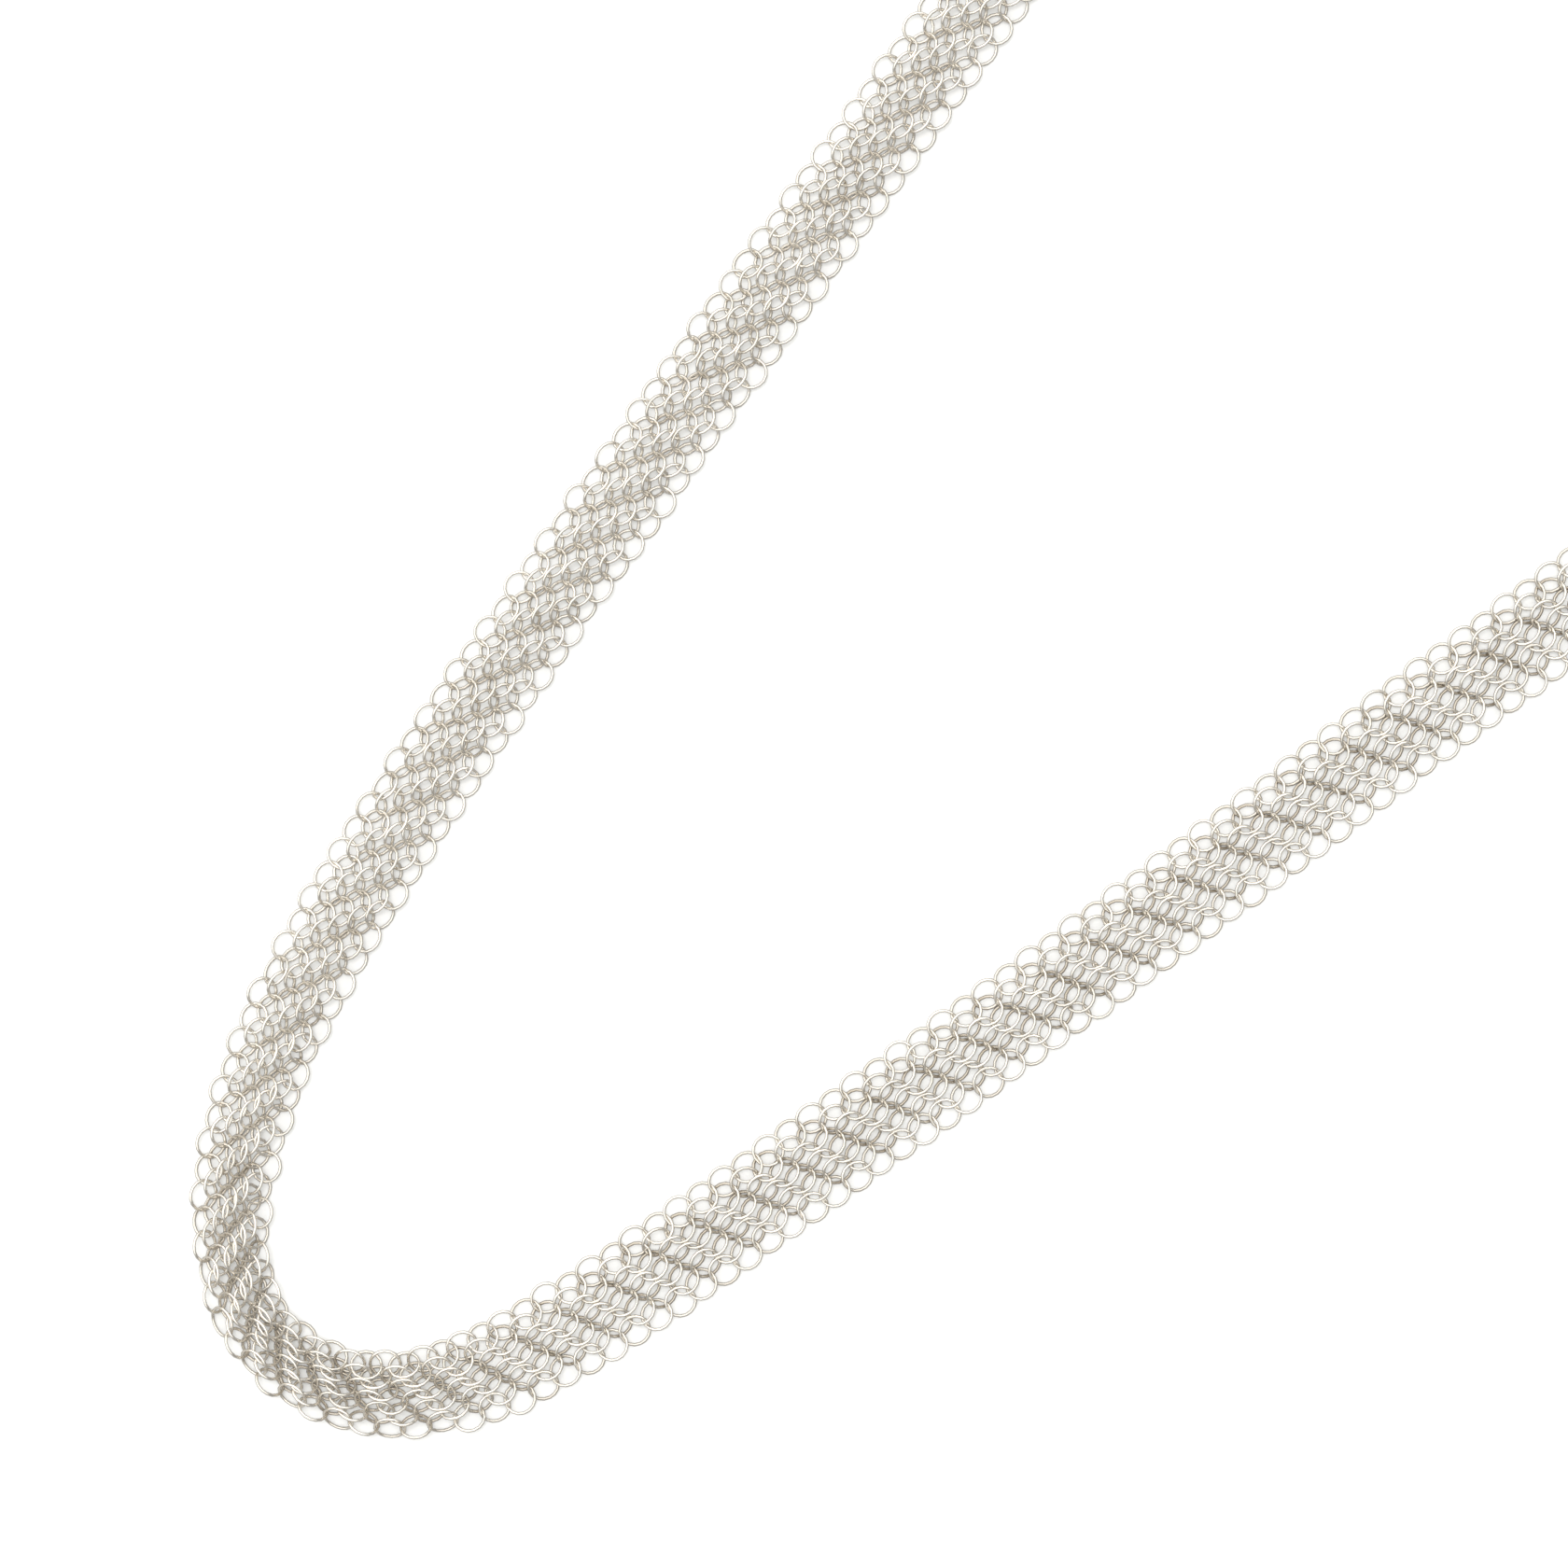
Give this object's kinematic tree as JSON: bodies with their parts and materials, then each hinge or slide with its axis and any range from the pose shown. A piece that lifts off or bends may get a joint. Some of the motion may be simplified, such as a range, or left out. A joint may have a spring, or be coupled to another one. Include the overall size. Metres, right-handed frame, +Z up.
{
  "type": "mesh necklace",
  "caption": "Flat silver mail necklace lying as a long closed loop, its fine band of linked round rings joined by one plain clasp.",
  "frame": {"origin": "middle of the lying necklace's bounding box, on the surface that it rests on", "axes": "+Y from the front bend towards the clasp, +X to the right seen from above, +Z up off the surface"},
  "size_m": [0.0852, 0.1964, 0.002],
  "materials": {
    "silver_wire": "bright drawn silver wire, polished",
    "silver_clasp": "polished silver with fine handling marks"
  },
  "bodies": {
    "root": {"mesh_band": "silver_wire", "clasp": "silver_clasp"}
  },
  "joints": []
}
